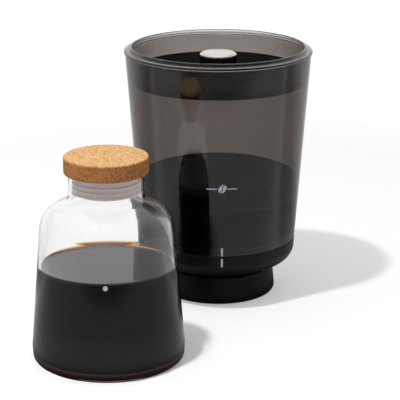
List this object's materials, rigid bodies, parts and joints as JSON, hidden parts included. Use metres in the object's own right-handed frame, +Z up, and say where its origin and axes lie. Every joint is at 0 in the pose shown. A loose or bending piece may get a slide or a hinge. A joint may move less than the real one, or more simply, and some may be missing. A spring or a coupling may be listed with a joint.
{
  "type": "cold brew coffee maker",
  "caption": "Cold brew coffee maker: smoky tapered brewing container with lid, filter and drip valve on a low stand, beside a glass carafe with a cork stopper.",
  "frame": {"origin": "on the table, at the centre of the stand's foot, under the brewing container's axis", "axes": "+Z up; -Y towards the picture's camera, +X to its right; the carafe stands at -X, -Y"},
  "size_m": [0.2271, 0.3025, 0.2162],
  "materials": {
    "black_plastic": "satin moulded plastic",
    "black_rubber": "matt rubber",
    "seal_silicone": "grey silicone",
    "spring_steel": "bright stainless steel",
    "smoky_plastic": "clear smoky brown-grey, polished",
    "mesh_steel": "woven stainless screen",
    "lid_smoke": "clear light smoke, polished",
    "gloss_black": "glossy moulded plastic",
    "brushed_steel": "brushed stainless steel",
    "clear_glass": "clear borosilicate glass",
    "cork": "pressed cork, fine granules",
    "plug_plastic": "translucent natural plastic",
    "plug_silicone": "translucent pinkish grey silicone"
  },
  "bodies": {
    "stand": {"stand": "black_plastic", "stand_foot_ring": "black_rubber"},
    "base": {"container_base": "black_plastic", "base_gasket": "seal_silicone", "valve_guide": "black_plastic"},
    "valve": {"valve_stem": "black_plastic", "valve_seal": "seal_silicone", "valve_actuator": "black_plastic", "valve_spring": "spring_steel"},
    "container": {"brewing_container": "smoky_plastic"},
    "filter": {"filter_frame": "black_plastic", "filter_mesh": "mesh_steel", "filter_seal": "seal_silicone"},
    "lid": {"lid_wall": "lid_smoke", "lid_disc": "gloss_black", "knob_body": "gloss_black", "knob_cap": "brushed_steel", "knob_screw": "spring_steel"},
    "carafe": {"carafe_glass": "clear_glass"},
    "stopper": {"cork_top": "cork", "stopper_core": "plug_plastic", "stopper_sleeve": "plug_silicone"}
  },
  "joints": [
    {"name": "base_lift", "type": "slide", "parent": "stand", "child": "base", "axis": [0, 0, 1], "range_m": [0, 0.15]},
    {"name": "container_twist", "type": "hinge", "parent": "base", "child": "container", "pos_m": [0, 0, 0.05], "axis": [0, 0, 1], "range_deg": [0, 30]},
    {"name": "valve_press", "type": "slide", "parent": "base", "child": "valve", "axis": [0, 0, 1], "range_m": [0, 0.004], "stiffness_N_per_m": 840, "springref_m": -0.005, "deforming": ["valve_spring"]},
    {"name": "filter_lift", "type": "slide", "parent": "base", "child": "filter", "axis": [0, 0, 1], "range_m": [0, 0.13]},
    {"name": "lid_lift", "type": "slide", "parent": "container", "child": "lid", "axis": [0, 0, 1], "range_m": [0, 0.12]},
    {"name": "carafe_lift", "type": "slide", "parent": "stand", "child": "carafe", "axis": [0, 0, 1], "range_m": [0, 0.15]},
    {"name": "stopper_pull", "type": "slide", "parent": "carafe", "child": "stopper", "axis": [0, 0, 1], "range_m": [0, 0.06]}
  ]
}
